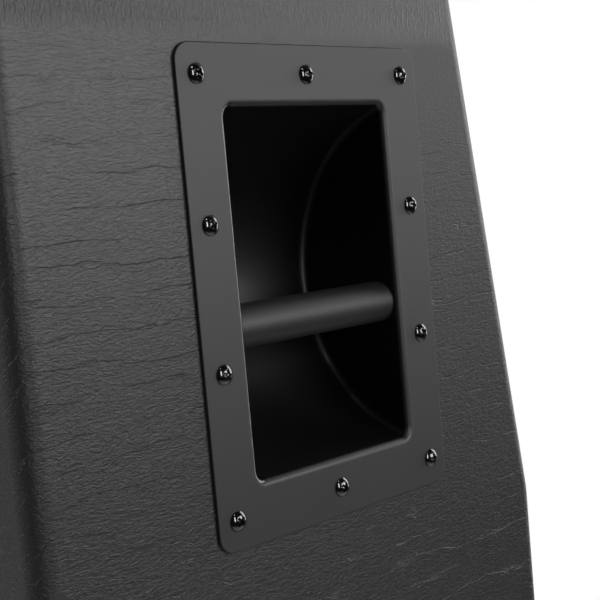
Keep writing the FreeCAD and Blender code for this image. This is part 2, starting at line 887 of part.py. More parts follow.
def jack_nut():
    angles = [2 * math.pi * index / jack_nut_sides for index in range(jack_nut_sides)]
    corners = [Vector(math.cos(angle), math.sin(angle), 0) * jack_nut_radius for angle in angles]
    blank = Part.Face(Part.makePolygon(corners + corners[:1])).extrude(Vector(0, 0, jack_nut_thickness))
    hole = rod(jack_bushing_radius + screw_clearance, -overrun, jack_nut_thickness + overrun)
    return cut_all(blank, [hole])


# Speakers, made along +Z from the back of the baffle

def speaker_frame():
    """Pressed steel basket: bolted rim, slanting arms with windows, spider ledge and magnet seat."""
    ledge_inner = spider_ledge_radius - spider_ledge_width
    skin = speaker_sheet
    basket = turned_polygon([
        (speaker_rim_radius, gasket_thickness),
        (speaker_rim_radius, rim_back),
        (basket_radius + skin, rim_back),
        (spider_ledge_radius + skin, spider_ledge_depth + skin),
        (ledge_inner + skin, spider_ledge_depth + skin),
        (ledge_inner + skin, magnet_front),
        (basket_hole_radius, magnet_front),
        (basket_hole_radius, basket_depth),
        (ledge_inner, basket_depth),
        (ledge_inner, spider_ledge_depth),
        (spider_ledge_radius, spider_ledge_depth),
        (basket_radius, gasket_thickness),
    ])
    bolt_hole = rod(bolt_radius + screw_clearance, 0, rim_back + overrun)
    tools = [bolt_hole.translated(offset) for offset in bolt_offsets()]
    return cut_all(basket, tools + basket_windows())


def basket_windows():
    """Openings between the arms, as sectors of a ring in front of the spider ledge."""
    sector = 360 / basket_window_count
    inner_radius = spider_ledge_radius + speaker_sheet
    blank = ring(basket_radius + overrun, inner_radius, basket_window_front, basket_window_back)
    arm_half = speaker_rim_radius * math.sin(math.radians(basket_arm_degrees / 2))
    arm = box(0, speaker_rim_radius, -arm_half, arm_half, basket_window_front, basket_window_back)
    axis = Vector(0, 0, 1)
    centre = Vector(0, 0, 0)
    arms = [arm.rotated(centre, axis, sector * index) for index in range(basket_window_count)]
    return blank.cut(arms).Solids


def speaker_gasket():
    gasket = ring(speaker_rim_radius, basket_radius + surround_border + seam_clearance, 0, gasket_thickness)
    hole = rod(bolt_radius + screw_clearance, -overrun, gasket_thickness + overrun)
    return cut_all(gasket, [hole.translated(offset) for offset in bolt_offsets()])


def tee_barrel_radius():
    return bolt_radius + screw_clearance + tee_barrel_wall


def bolt_set():
    """One bolt from the frame's rim through the baffle, and the T-nut on the baffle's front."""
    nut_front = -baffle_thickness - tee_flange_thickness
    length = rim_back - nut_front
    bolt = headed_screw(bolt_head_radius, bolt_head_height, bolt_head_height / 2, bolt_radius, length)
    bolt = bolt.translated(Vector(0, 0, rim_back))
    bore = bolt_radius + screw_clearance
    nut = turned_polygon([
        (bore, nut_front),
        (tee_flange_radius, nut_front),
        (tee_flange_radius, -baffle_thickness),
        (tee_barrel_radius(), -baffle_thickness),
        (tee_barrel_radius(), tee_barrel_length - baffle_thickness),
        (bore, tee_barrel_length - baffle_thickness),
    ])
    return [bolt, nut]


def ripples(inner_radius, outer_radius, border, rolls, z):
    """Path of a pleated ring with a flat border outside: flat-crested half rolls that rise and sink."""
    edge = outer_radius - border
    step = (edge - inner_radius) / (2 * rolls)
    flank = step * (1 - roll_crest_share) / 2
    points = [(outer_radius, z), (edge, z)]
    for index in range(2 * rolls):
        crest_z = z + roll_rise_share * step * (-1) ** (index + 1)
        start = edge - index * step
        points += [(start - flank, crest_z), (start - step + flank, crest_z)]
    return sheet_path(points + [(inner_radius, z)])


def suspension():
    """Rippled surround on the frame's rim and rippled spider on its ledge."""
    surround = ripples(
        cone_radius + seam_clearance, basket_radius + surround_border, surround_border,
        surround_rolls, gasket_thickness - surround_sheet,
    )
    spider = ripples(
        coil_radius + seam_clearance, spider_ledge_radius - seam_clearance,
        spider_ledge_width - seam_clearance,
        spider_rolls, spider_ledge_depth - spider_sheet,
    )
    return [turned_sheet(surround, surround_sheet), turned_sheet(spider, spider_sheet)]


def cone_front(radius):
    """Depth of the cone's front skin at a radius."""
    slope = cone_depth / (cone_radius - coil_radius - cone_sheet)
    return gasket_thickness - surround_sheet + (cone_radius - radius) * slope


def moving_cone():
    """Paper cone with a collar on the voice coil, the coil, and a domed dust cap on the cone."""
    neck = coil_radius + cone_sheet
    neck_z = cone_front(neck)
    cone = turned_polygon([
        (cone_radius, cone_front(cone_radius)),
        (neck, neck_z),
        (coil_radius, neck_z),
        (coil_radius, neck_z + cone_collar),
        (neck, neck_z + cone_collar),
        (neck, neck_z + cone_sheet),
        (cone_radius, cone_front(cone_radius) + cone_sheet),
    ])
    coil = ring(coil_radius, coil_radius - coil_wall, neck_z, neck_z + coil_length)
    rim_z = cone_front(dust_cap_radius) - cone_sheet - seam_clearance
    cap = turned_sheet([dome_edge(dust_cap_radius, rim_z, rim_z - dust_cap_rise)], cone_sheet)
    return [cone, coil, cap]


def magnet():
    """Top plate on the basket, ferrite ring, and back plate with the pole."""
    ferrite_front = magnet_front + plate_thickness
    plate_front = ferrite_front + magnet_thickness
    plate_back = plate_front + plate_thickness
    edge = plate_edge
    top_plate = ring(plate_radius, gap_radius, magnet_front, ferrite_front)
    ferrite = ring(magnet_radius, magnet_hole_radius, ferrite_front, plate_front)
    yoke = turned_polygon([
        (0, magnet_front),
        (pole_radius, magnet_front),
        (pole_radius, plate_front),
        (plate_radius, plate_front),
        (plate_radius, plate_back - edge),
        (plate_radius - edge, plate_back),
        (0, plate_back),
    ])
    return [top_plate, ferrite, yoke]


def terminals():
    """Terminal block with two tags on the side of the basket's magnet seat."""
    seat_radius = spider_ledge_radius - spider_ledge_width + speaker_sheet
    z0 = spider_ledge_depth + speaker_sheet
    half = terminal_width / 2
    block = box(0, seat_radius + terminal_depth, -half, half, z0, z0 + terminal_height)
    block = cut_all(block, [rod(seat_radius, z0 - overrun, z0 + terminal_height + overrun)])
    tag_z = z0 + terminal_height
    tag_x = seat_radius + terminal_depth - tag_thickness
    tag = box(tag_x, tag_x + tag_thickness, -tag_width / 2, tag_width / 2, tag_z, tag_z + tag_length)
    shift = Vector(0, half - tag_width, 0)
    return [block, tag.translated(shift), tag.translated(-shift)]


def speakers():
    """All four speakers: lower left, lower right, upper left, upper right."""
    frame = speaker_frame()
    magnet_pieces = magnet()
    cone_pieces = moving_cone()
    soft_pieces = suspension()
    gasket = speaker_gasket()
    bolts = [piece.translated(offset) for offset in bolt_offsets() for piece in bolt_set()]
    block = terminals()
    half_turn = 180
    nodes = {"speaker_gaskets": [], "speaker_bolts": [], "speaker_terminals": []}
    for upper in (False, True):
        for side in sides:
            name = f"{level_name(upper)}_{side_name(side)}"
            turn = half_turn if side > 0 else 0
            faced = [piece.rotated(Vector(0, 0, 0), Vector(0, 0, 1), turn) for piece in block]
            nodes[name + "_speaker_frame"] = [speaker_seat(frame, upper, side)]
            nodes[name + "_magnet"] = [speaker_seat(piece, upper, side) for piece in magnet_pieces]
            nodes[name + "_cone"] = [speaker_seat(piece, upper, side) for piece in cone_pieces]
            nodes[name + "_suspension"] = [speaker_seat(piece, upper, side) for piece in soft_pieces]
            nodes["speaker_gaskets"].append(speaker_seat(gasket, upper, side))
            nodes["speaker_bolts"] += [speaker_seat(piece, upper, side) for piece in bolts]
            nodes["speaker_terminals"] += [speaker_seat(piece, upper, side) for piece in faced]
    return nodes


def build():
    os.makedirs("parts", exist_ok=True)
    for node, panel in carcass_panels().items():
        export(node, [panel])
    export("vinyl_covering", [covering()])
    for upper in (False, True):
        level = level_name(upper)
        export(level + "_baffle", [baffle(upper)])
        export(level + "_grille_frame", [grille_frame(upper)])
        export(level + "_grille_cloth", [grille_cloth(upper)])
    export("grille_piping", [piping(False), piping(True)])
    export("baffle_cleats", baffle_cleats())
    export("back_cleats", back_cleats())
    export("centre_post", [centre_post()])
    board, vinyl = back_panel()
    export("back_panel", [board])
    export("back_panel_vinyl", [vinyl])
    export("back_panel_screws", screws(pan_screw(back_screw_length()), back_screw_places()))
    dish = handle_dish()
    bar = handle_bar()
    export("left_handle_dish", [dish])
    export("right_handle_dish", [mirrored(dish)])
    export("left_handle_bar", [bar])
    export("right_handle_bar", [mirrored(bar)])
    export("handle_screws", screws(dome_screw(dome_screw_length), handle_screw_places()))
    for node, cap in corner_caps().items():
        export(node, [cap])
    export("corner_screws", screws(pan_screw(pan_screw_length), corner_screw_places()))
    rubber = foot()
    for place in foot_places():
        export(f"{end_name(place.y)}_{side_name(place.x)}_foot", [rubber.translated(place)])
    export("foot_screws", foot_fasteners())
    export("jack_dish", [jack_dish()])
    export("jack_sockets", [seated(jack_socket(), place, Vector(0, 1, 0)) for place in jack_places()])
    export("jack_nuts", [seated(jack_nut(), place, Vector(0, 1, 0)) for place in jack_places()])
    export("jack_dish_screws", screws(pan_screw(pan_screw_length), dish_screw_places()))
    for node, solids in speakers().items():
        export(node, solids)


build()
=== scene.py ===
# %% [markdown]
# # A slant-front guitar speaker cabinet
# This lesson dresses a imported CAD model. The CAD nodes stay where they are, because they are the frame
# that every other piece is set against. Shapes that are right in CAD get finishes. The screws, the grille
# cloths and the speakers' suspensions, which CAD holds as plain forms, are modelled again in detail.

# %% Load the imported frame
import json
import math

import bpy
from mathutils import Matrix, Vector


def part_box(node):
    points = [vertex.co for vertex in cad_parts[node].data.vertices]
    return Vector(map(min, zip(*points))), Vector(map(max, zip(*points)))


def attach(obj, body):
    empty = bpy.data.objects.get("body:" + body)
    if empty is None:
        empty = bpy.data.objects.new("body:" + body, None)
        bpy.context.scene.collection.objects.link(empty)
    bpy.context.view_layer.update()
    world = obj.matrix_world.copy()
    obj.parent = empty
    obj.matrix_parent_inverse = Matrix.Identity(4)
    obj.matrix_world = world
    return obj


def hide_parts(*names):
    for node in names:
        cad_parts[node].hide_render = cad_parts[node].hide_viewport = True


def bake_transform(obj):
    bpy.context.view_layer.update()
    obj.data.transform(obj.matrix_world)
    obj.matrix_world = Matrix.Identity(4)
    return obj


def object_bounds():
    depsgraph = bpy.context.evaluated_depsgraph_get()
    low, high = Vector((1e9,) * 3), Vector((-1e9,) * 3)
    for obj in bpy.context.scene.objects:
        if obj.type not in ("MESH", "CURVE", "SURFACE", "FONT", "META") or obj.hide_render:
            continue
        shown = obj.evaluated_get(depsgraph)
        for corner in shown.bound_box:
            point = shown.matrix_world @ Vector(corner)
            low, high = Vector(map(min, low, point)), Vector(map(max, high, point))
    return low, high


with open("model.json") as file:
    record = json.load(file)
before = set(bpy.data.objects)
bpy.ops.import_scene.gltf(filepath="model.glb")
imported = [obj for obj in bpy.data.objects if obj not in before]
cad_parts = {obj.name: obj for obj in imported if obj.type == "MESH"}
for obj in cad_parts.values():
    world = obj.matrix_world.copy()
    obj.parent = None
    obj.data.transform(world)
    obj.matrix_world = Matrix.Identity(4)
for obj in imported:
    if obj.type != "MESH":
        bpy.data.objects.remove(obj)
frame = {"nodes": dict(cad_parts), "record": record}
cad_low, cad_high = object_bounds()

nodes = frame["nodes"]
millimetre = 0.001
cabinet_middle = (cad_low + cad_high) / 2
print("CAD nodes:", len(nodes), "box:", tuple(cad_low), tuple(cad_high))

# %% [markdown]
# ## Camera
# The photograph looks at the left side from behind and slightly above the handle, close enough for strong
# perspective. The ten screws of the handle lie on a known grid, so the camera was solved from their places
# in the picture. A matrix built from its right, up and forward directions sets it exactly, where a
# track-to constraint would lose the small roll of the view.

# %% Camera
camera_place = Vector((-0.8557, 0.4762, 0.6021))
right = Vector((-0.70167, -0.70705, -0.08802))
up = Vector((-0.00407, -0.11957, 0.99282))
forward = Vector((0.71249, -0.69699, -0.08102))
film_mm, lens_mm = 36.0, 74.03

bpy.ops.object.select_all(action="DESELECT")
bpy.ops.object.camera_add(location=camera_place)
camera = bpy.context.object
camera.name = "camera"
turn = Matrix((right, up, -forward)).transposed()
camera.matrix_world = Matrix.Translation(camera_place) @ turn.to_4x4()
camera.data.sensor_width = film_mm
camera.data.lens = lens_mm
camera.data.clip_start = 10 * millimetre
bpy.context.scene.camera = camera
print("camera at", tuple(camera.location))

# %% [markdown]
# ## Colours and nodes
# Colours are written as sRGB hex values, as a colour picker shows them, and shaders work in linear light,
# so one function converts them. Another adds a node, sets its values and links its inputs, which keeps
# every material readable as a short list from pattern to shader.

# %% Colour and node helpers
def linear(hex_colour):
    """Linear RGBA of an sRGB hex colour."""
    channels = [int(hex_colour[i:i + 2], 16) / 255 for i in (1, 3, 5)]
    bright = [c / 12.92 if c <= 0.04045 else ((c + 0.055) / 1.055) ** 2.4 for c in channels]
    return (*bright, 1.0)


def add_node(tree, kind, settings=None, links=None):
    """Adds one node, sets its properties and unlinked inputs, and links the other inputs to sockets."""
    node = tree.nodes.new(kind)
    for key, value in (settings or {}).items():
        if isinstance(key, str) and hasattr(node, key):
            setattr(node, key, value)
        else:
            node.inputs[key].default_value = value
    for key, socket in (links or {}).items():
        tree.links.new(socket, node.inputs[key])
    return node


def new_finish(name, colour, roughness, metallic=0.0, ior=1.5):
    """Material with a Principled shader, its node tree and the Object coordinates of the piece."""
    material = bpy.data.materials.new(name)
    material.use_nodes = True
    tree = material.node_tree
    shader = tree.nodes["Principled BSDF"]
    shader.inputs["Base Color"].default_value = linear(colour)
    shader.inputs["Roughness"].default_value = roughness
    shader.inputs["Metallic"].default_value = metallic
    shader.inputs["IOR"].default_value = ior
    place = add_node(tree, "ShaderNodeTexCoord").outputs["Object"]
    return material, tree, shader, place


def per_mm(size_mm):
    """Scale of a pattern on coordinates in metres whose features are a size in millimetres."""
    return 1 / (size_mm * millimetre)


print("white is", linear("#ffffff"))

# %% [markdown]
# ## Stage
# The cabinet stands in a studio: a pale floor that runs into a white backdrop behind the cabinet, pale
# grey walls, and a dark side from which the photograph was taken. A black object needs that contrast,
# because it shows mostly what it mirrors. The camera sees white all round, as in the photograph, while
# gloss sees the studio. Light Path tells the two apart. The floor takes the shadow near the cabinet and
# fades out farther away, so no horizon shows. The fade is for what the camera, gloss and glass see, and
# the floor's light on the cabinet stays that of a plain pale floor.

# %% World
backdrop_way = Vector((0.58, -0.81, 0.0)).normalized()
backdrop_from, backdrop_to = 0.42, 0.9
dark_way = Vector((-1.0, 0.0, 0.0))
dark_from, dark_to = -0.1, 0.45
backdrop_white, studio_grey, dark_grey = linear("#ffffff"), linear("#a8a8a8"), linear("#2e2e2e")


def backdrop_colour(tree, direction):
    """Colour of the studio in a direction: white backdrop, dark camera side and pale grey between them."""
    colour = None
    for way, start, end, tone in ((dark_way, dark_from, dark_to, dark_grey),
                                  (backdrop_way, backdrop_from, backdrop_to, backdrop_white)):
        facing = add_node(tree, "ShaderNodeVectorMath", {"operation": "DOT_PRODUCT", 1: way}, {0: direction})
        blend = add_node(tree, "ShaderNodeMapRange", {"interpolation_type": "SMOOTHSTEP", 1: start, 2: end},
                         {0: facing.outputs["Value"]})
        mix = add_node(tree, "ShaderNodeMix", {"data_type": "RGBA", 6: studio_grey, 7: tone},
                       {0: blend.outputs[0]})
        if colour is not None:
            tree.links.new(colour, mix.inputs[6])
        colour = mix.outputs[2]
    return colour


world = bpy.data.worlds.new("studio")
world.use_nodes = True
bpy.context.scene.world = world
sky = world.node_tree
sky_way = add_node(sky, "ShaderNodeTexCoord").outputs["Generated"]
sky_path = add_node(sky, "ShaderNodeLightPath")
sky_tone = add_node(sky, "ShaderNodeMix", {"data_type": "RGBA", 7: backdrop_white},
                    {0: sky_path.outputs["Is Camera Ray"], 6: backdrop_colour(sky, sky_way)})
sky.links.new(sky_tone.outputs[2], sky.nodes["Background"].inputs["Color"])
bpy.context.scene.view_settings.view_transform = "Standard"
print("world:", world.name)

# %% Floor
floor_radius, floor_rim = 30.0, 27.0
fade_from, fade_to = 0.55, 1.0

bpy.ops.mesh.primitive_circle_add(vertices=96, radius=floor_radius, fill_type="NGON", location=(0, 0, 0))
floor = bpy.context.object
floor.name = "studio_floor"
bpy.ops.object.mode_set(mode="EDIT")
bpy.ops.mesh.inset(thickness=floor_rim)
bpy.ops.object.mode_set(mode="OBJECT")
paint, tree, shader, place = new_finish("matt_studio_paint", "#e4e4e2", 0.9)
reach = add_node(tree, "ShaderNodeVectorMath", {"operation": "LENGTH"}, {0: place})
outwards = add_node(tree, "ShaderNodeVectorMath", {"operation": "NORMALIZE"}, {0: place})
fade = add_node(tree, "ShaderNodeMapRange", {"interpolation_type": "SMOOTHSTEP", 1: fade_from, 2: fade_to},
                {0: reach.outputs["Value"]})
path = add_node(tree, "ShaderNodeLightPath")
seen = add_node(tree, "ShaderNodeMath", {"operation": "MAXIMUM"},
                {0: path.outputs["Is Camera Ray"], 1: path.outputs["Is Glossy Ray"]})
seen = add_node(tree, "ShaderNodeMath", {"operation": "MAXIMUM"},
                {0: seen.outputs[0], 1: path.outputs["Is Transmission Ray"]})
share = add_node(tree, "ShaderNodeMath", {"operation": "MULTIPLY"}, {0: fade.outputs[0], 1: seen.outputs[0]})
tone = add_node(tree, "ShaderNodeMix", {"data_type": "RGBA", 7: backdrop_white},
                {0: path.outputs["Is Camera Ray"], 6: backdrop_colour(tree, outwards.outputs["Vector"])})
glow = add_node(tree, "ShaderNodeEmission", {}, {"Color": tone.outputs[2]})
mix = add_node(tree, "ShaderNodeMixShader", {},
               {0: share.outputs[0], 1: shader.outputs[0], 2: glow.outputs[0]})
tree.links.new(mix.outputs[0], tree.nodes["Material Output"].inputs["Surface"])
floor.data.materials.append(paint)
print("floor:", floor.name, "faces:", len(floor.data.polygons))

# %% [markdown]
# ## Lamps
# A black object is lit by what it mirrors. The key is a wide soft box in front of the left side, where the
# vinyl mirrors it: its lower edge stands above the floor, so the sheen fades down the panel and the
# handle's bowl stays black above, below and towards the front. A tall box beyond the cabinet's front
# brightens the panel and the bar on that side and gives each domed screw a crescent there, which a low
# strip lengthens downwards. A narrow strip on the camera's side and a small high lamp give the screws
# their upright highlight and the spot above it. Two last soft boxes light the back, the top and the right
# side and do not reach the left side.

# %% Soft boxes
def soft_box(name, position, target, width, height, radiance):
    """Area lamp that faces a target. Its power gives the radiance, so its size does not change its look."""
    bpy.ops.object.select_all(action="DESELECT")
    bpy.ops.object.light_add(type="AREA", location=position)
    lamp = bpy.context.object
    lamp.name = name
    lamp.rotation_mode = "QUATERNION"
    lamp.rotation_quaternion = (Vector(target) - Vector(position)).to_track_quat("-Z", "Y")
    lamp.data.shape = "RECTANGLE"
    lamp.data.size, lamp.data.size_y = width, height
    lamp.data.energy = radiance * math.pi * width * height
    lamp.visible_camera = False


handle_low, handle_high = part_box("left_handle_dish")
handle_middle = (handle_low + handle_high) / 2
# Each row: the lamp's place, what it faces, its width and height in metres, and its radiance.
lamps = {
    "key_soft_box": ((-2.158, -0.893, 0.91), handle_middle, 1.42, 0.85, 6.9),
    "front_soft_box": ((-0.75, -1.80, 1.10), handle_middle, 0.7, 1.2, 3.7),
    "strip_soft_box": ((-1.76, 0.58, 0.85), handle_middle, 0.16, 1.0, 13.0),
    "high_lamp": ((-1.43, 0.41, 2.0), handle_middle, 0.12, 0.12, 40.0),
    "low_front_strip": ((-0.48, -1.80, 0.28), handle_middle, 0.14, 0.55, 6.0),
    "back_soft_box": ((1.5, 2.1, 1.9), cabinet_middle, 1.6, 1.2, 5.0),
    "right_soft_box": ((2.3, -0.6, 1.1), cabinet_middle, 1.2, 1.2, 5.0),
}
for name, (position, target, width, height, radiance) in lamps.items():
    soft_box(name, position, target, width, height, radiance)

# %% [markdown]
# ## Grained vinyl
# The covering is expanded PVC on cloth, embossed to look like hide: fine wrinkles about a millimetre
# apart, and thin creases that run level for a few centimetres and fade out. To the eye it is a soft black
# with a satin sheen that the grain breaks up. It could be painted as an image, but patterns in the piece's
# own coordinates have no seams at the rounded edges. A crease is where a slowly bending field passes a
# whole number, so it has one width along its length, and a patchy noise keeps only pieces of it. The vinyl
# is pulled tighter towards the top, so the creases get shallower up to the handle's upper edge. Above it
# the grain turns upright. The back panel is turned a quarter circle from the sides, so its grain runs
# along the width.

# %% Creases of the vinyl
sway_mm, sway_steps = 11.0, 1.6
patch_mm, patch_edge = 8.0, 0.1


def creases(tree, place, across, spacing_mm, width_mm, patch_scale, kept_share):
    """Height of thin creases, 0 in one and 1 beside it, that follow each other in the direction across."""
    steps = add_node(tree, "ShaderNodeVectorMath",
                     {"operation": "DOT_PRODUCT", 1: across * per_mm(spacing_mm)}, {0: place})
    longer = add_node(tree, "ShaderNodeMapping", {"Scale": patch_scale}, {"Vector": place}).outputs[0]
    sway = add_node(tree, "ShaderNodeTexNoise", {"Scale": per_mm(sway_mm), "Detail": 5.0, "Roughness": 0.55},
                    {"Vector": longer})
    field = add_node(tree, "ShaderNodeMath", {"operation": "MULTIPLY_ADD", 1: sway_steps},
                     {0: sway.outputs["Fac"], 2: steps.outputs["Value"]})
    away = add_node(tree, "ShaderNodeMath", {"operation": "PINGPONG", 1: 0.5}, {0: field.outputs[0]})
    groove = add_node(tree, "ShaderNodeMapRange",
                      {"interpolation_type": "SMOOTHSTEP", 2: width_mm / spacing_mm}, {0: away.outputs[0]})
    patch = add_node(tree, "ShaderNodeTexNoise", {"Scale": per_mm(patch_mm), "Detail": 1.0},
                     {"Vector": longer})
    left_out = add_node(tree, "ShaderNodeMapRange", {1: kept_share, 2: kept_share + patch_edge},
                        {0: patch.outputs["Fac"]})
    return add_node(tree, "ShaderNodeMath", {"operation": "MAXIMUM"},
                    {0: groove.outputs[0], 1: left_out.outputs[0]}).outputs[0]


print("creases sway over", sway_mm, "mm in patches of", patch_mm, "mm")

# %% Grained vinyl
wrinkle_size_mm = 1.3
wrinkle_stretch, crease_stretch = 0.6, 0.8
level_spacing_mm, level_width_mm, level_share = 15.0, 0.65, 0.48
upright_spacing_mm, upright_width_mm, upright_share = 5.0, 0.8, 0.5
# Depths of the relief. The upright folds stand out of the surface, so theirs is negative.
wrinkle_mm, crease_mm, upright_mm = 0.5, 0.36, -0.1
top_from, top_to = handle_high.z - 5 * millimetre, handle_high.z + 12 * millimetre
shiniest, dullest = 0.36, 0.44


def grained_vinyl(name, along):
    """Black embossed vinyl with wrinkles and creases that run along one axis."""
    material, tree, shader, place = new_finish(name, "#1a1a1d", (shiniest + dullest) / 2, ior=1.46)
    every = Vector((1, 1, 1))
    upwards = Vector((0, 0, 1))
    wrinkles = []
    for way in (along, upwards):
        longer = add_node(tree, "ShaderNodeMapping", {"Scale": every - wrinkle_stretch * way},
                          {"Vector": place}).outputs[0]
        wrinkles.append(add_node(tree, "ShaderNodeTexNoise",
                                 {"Scale": per_mm(wrinkle_size_mm), "Detail": 3.0, "Roughness": 0.55,
                                  "Distortion": 0.8},
                                 {"Vector": longer}).outputs["Fac"])
    level_at = add_node(tree, "ShaderNodeSeparateXYZ", {}, {0: place})
    near_top = add_node(tree, "ShaderNodeMapRange",
                        {"interpolation_type": "SMOOTHSTEP", 1: top_from, 2: top_to},
                        {0: level_at.outputs["Z"]})
    slack = add_node(tree, "ShaderNodeMapRange", {1: handle_low.z, 2: handle_high.z, 3: 1.0, 4: 0.0},
                     {0: level_at.outputs["Z"]})
    uneven = add_node(tree, "ShaderNodeMath", {"operation": "MAXIMUM"},
                      {0: slack.outputs[0], 1: near_top.outputs[0]})
    wrinkle = add_node(tree, "ShaderNodeMix", {"data_type": "FLOAT"},
                       {0: near_top.outputs[0], 2: wrinkles[0], 3: wrinkles[1]}).outputs[0]
    level = creases(tree, place, every - along, level_spacing_mm, level_width_mm,
                    every - crease_stretch * along, level_share)
    upright = creases(tree, place, along, upright_spacing_mm, upright_width_mm,
                      0.7 * every + 0.3 * along, upright_share)
    height = None
    for pattern, share, deepest, least in ((wrinkle, uneven, wrinkle_mm, wrinkle_mm / 2),
                                           (level, slack, crease_mm, crease_mm / 10),
                                           (upright, near_top, upright_mm, upright_mm / 8)):
        depth = add_node(tree, "ShaderNodeMapRange", {3: least, 4: deepest}, {0: share.outputs[0]})
        layer = add_node(tree, "ShaderNodeMath", {"operation": "MULTIPLY_ADD", 2: 0.0},
                         {0: pattern, 1: depth.outputs[0]})
        if height is not None:
            tree.links.new(height, layer.inputs[2])
        height = layer.outputs[0]
    bump = add_node(tree, "ShaderNodeBump", {"Strength": 1.0, "Distance": millimetre}, {"Height": height})
    tree.links.new(bump.outputs["Normal"], shader.inputs["Normal"])
    gloss = add_node(tree, "ShaderNodeMapRange", {3: shiniest, 4: dullest}, {0: wrinkle})
    tree.links.new(gloss.outputs[0], shader.inputs["Roughness"])
    return material


vinyl = grained_vinyl("embossed_black_vinyl", Vector((0, 1, 0)))
back_vinyl = grained_vinyl("embossed_black_vinyl_back", Vector((1, 0, 0)))
print("vinyl:", vinyl.name, back_vinyl.name)

# %% [markdown]
# ## Powder coat
# The handle is pressed steel with a satin black powder coat, which is a thin baked plastic with a faint
# orange peel: a dull, even black on the flange. In the bowl the coat is smoother, and its colour darkens
# with depth to nearly black as painted shade, from the cut edge and the bends of the mouth inwards. Hands
# have rubbed the back edge of the mouth until it shines as a bright line. Depth behind the dish's face tells
# flange and bowl apart, so one material serves the whole pressing without a seam.

# %% Powder coat of the dish
peel_mm, peel_relief_mm = 0.9, 0.004
# The bowl's near-black tone is painted shade in the recess, not the coat's own colour.
flange_tone, bowl_painted_shade = "#1b1b1b", "#010101"
flange_roughness, bowl_roughness, rubbed_roughness = 0.52, 0.4, 0.2
dish_face = -handle_low.x
shade_from, shade_to = dish_face - 0.6 * millimetre, dish_face - 3 * millimetre
gloss_from, gloss_to = dish_face - 0.02 * millimetre, dish_face - 0.3 * millimetre
rubbed_from, rubbed_to = handle_middle.y + 54 * millimetre, handle_middle.y + 57 * millimetre


def powder_coat_with_painted_shade():
    """Powder coat of the handle's dish: a dull flange, a glossier bowl in painted shade and a rubbed back
    edge.
    """
    material, tree, shader, place = new_finish("satin_black_powder_coat_dish_painted_shade", flange_tone, flange_roughness)
    apart = add_node(tree, "ShaderNodeSeparateXYZ", {}, {0: place})
    out = add_node(tree, "ShaderNodeMath", {"operation": "ABSOLUTE"}, {0: apart.outputs["X"]})
    # Painted shade: the colour darkens from the flange's tone to near black with depth behind the dish's
    # face.
    depth_shade = add_node(tree, "ShaderNodeMapRange",
                    {"interpolation_type": "SMOOTHSTEP", 1: shade_from, 2: shade_to}, {0: out.outputs[0]})
    tone = add_node(tree, "ShaderNodeMix",
                    {"data_type": "RGBA", 6: linear(flange_tone), 7: linear(bowl_painted_shade)},
                    {0: depth_shade.outputs[0]})
    tree.links.new(tone.outputs[2], shader.inputs["Base Color"])
    inside = add_node(tree, "ShaderNodeMapRange", {1: gloss_from, 2: gloss_to, 3: 0.0, 4: 1.0},
                      {0: out.outputs[0]})
    rubbed = add_node(tree, "ShaderNodeMapRange",
                      {1: rubbed_from, 2: rubbed_to, 3: bowl_roughness, 4: rubbed_roughness},
                      {0: apart.outputs["Y"]})
    gloss = add_node(tree, "ShaderNodeMix", {"data_type": "FLOAT", 2: flange_roughness},
                     {0: inside.outputs[0], 3: rubbed.outputs[0]})
    tree.links.new(gloss.outputs[0], shader.inputs["Roughness"])
    peel = add_node(tree, "ShaderNodeTexNoise", {"Scale": per_mm(peel_mm), "Detail": 4.0},
                    {"Vector": place})
    bump = add_node(tree, "ShaderNodeBump", {"Strength": 1.0, "Distance": peel_relief_mm * millimetre},
                    {"Height": peel.outputs["Fac"]})
    tree.links.new(bump.outputs["Normal"], shader.inputs["Normal"])
    return material


dish_coat = powder_coat_with_painted_shade()
print("dish:", dish_coat.name)

# %% [markdown]
# ## Woven cloth and other finishes
# The grille cloth is a plain weave of black yarn, drawn lighter on its crossing threads and darker between
# them as painted highlight and painted shade. The other finishes follow one plan: a base from typical
# values, two tones mixed by a noise of the right size, and a little relief. That is enough for surfaces that
# are nearly even, and it keeps any of them from being one flat colour.

# %% Woven cloth
weave_mm, weave_relief_mm = 6.0, 0.4


def woven_cloth():
    """Plain weave of black yarn. The real threads lie 1 mm apart and are drawn 6 mm apart, to show."""
    material, tree, shader, place = new_finish("black_woven_grille_cloth", "#171717", 0.85)
    shader.inputs["Sheen Weight"].default_value = 0.2
    cells = add_node(tree, "ShaderNodeVectorMath", {"operation": "SCALE", "Scale": per_mm(weave_mm)},
                     {0: place})
    apart = add_node(tree, "ShaderNodeSeparateXYZ", {}, {0: cells.outputs[0]})
    yarn = {}
    for way in ("X", "Z"):
        turn = add_node(tree, "ShaderNodeMath", {"operation": "MULTIPLY", 1: math.pi},
                        {0: apart.outputs[way]})
        wave = add_node(tree, "ShaderNodeMath", {"operation": "SINE"}, {0: turn.outputs[0]})
        yarn[way] = add_node(tree, "ShaderNodeMath", {"operation": "ABSOLUTE"},
                             {0: wave.outputs[0]}).outputs[0]
    flat = add_node(tree, "ShaderNodeCombineXYZ", {"Z": 0.5},
                    {"X": apart.outputs["X"], "Y": apart.outputs["Z"]})
    over = add_node(tree, "ShaderNodeTexChecker", {"Scale": 1.0}, {"Vector": flat.outputs[0]})
    height = add_node(tree, "ShaderNodeMix", {"data_type": "FLOAT"},
                      {0: over.outputs["Fac"], 2: yarn["X"], 3: yarn["Z"]})
    # Painted highlight and shade: the raised yarn is lighter, the hollows between the threads darker.
    tone = add_node(tree, "ShaderNodeMix", {"data_type": "RGBA", 6: linear("#080808"), 7: linear("#303030")},
                    {0: height.outputs[0]})
    tree.links.new(tone.outputs[2], shader.inputs["Base Color"])
    bump = add_node(tree, "ShaderNodeBump", {"Strength": 1.0, "Distance": weave_relief_mm * millimetre},
                    {"Height": height.outputs[0]})
    tree.links.new(bump.outputs["Normal"], shader.inputs["Normal"])
    return material


grille_weave = woven_cloth()
print("cloth:", grille_weave.name)

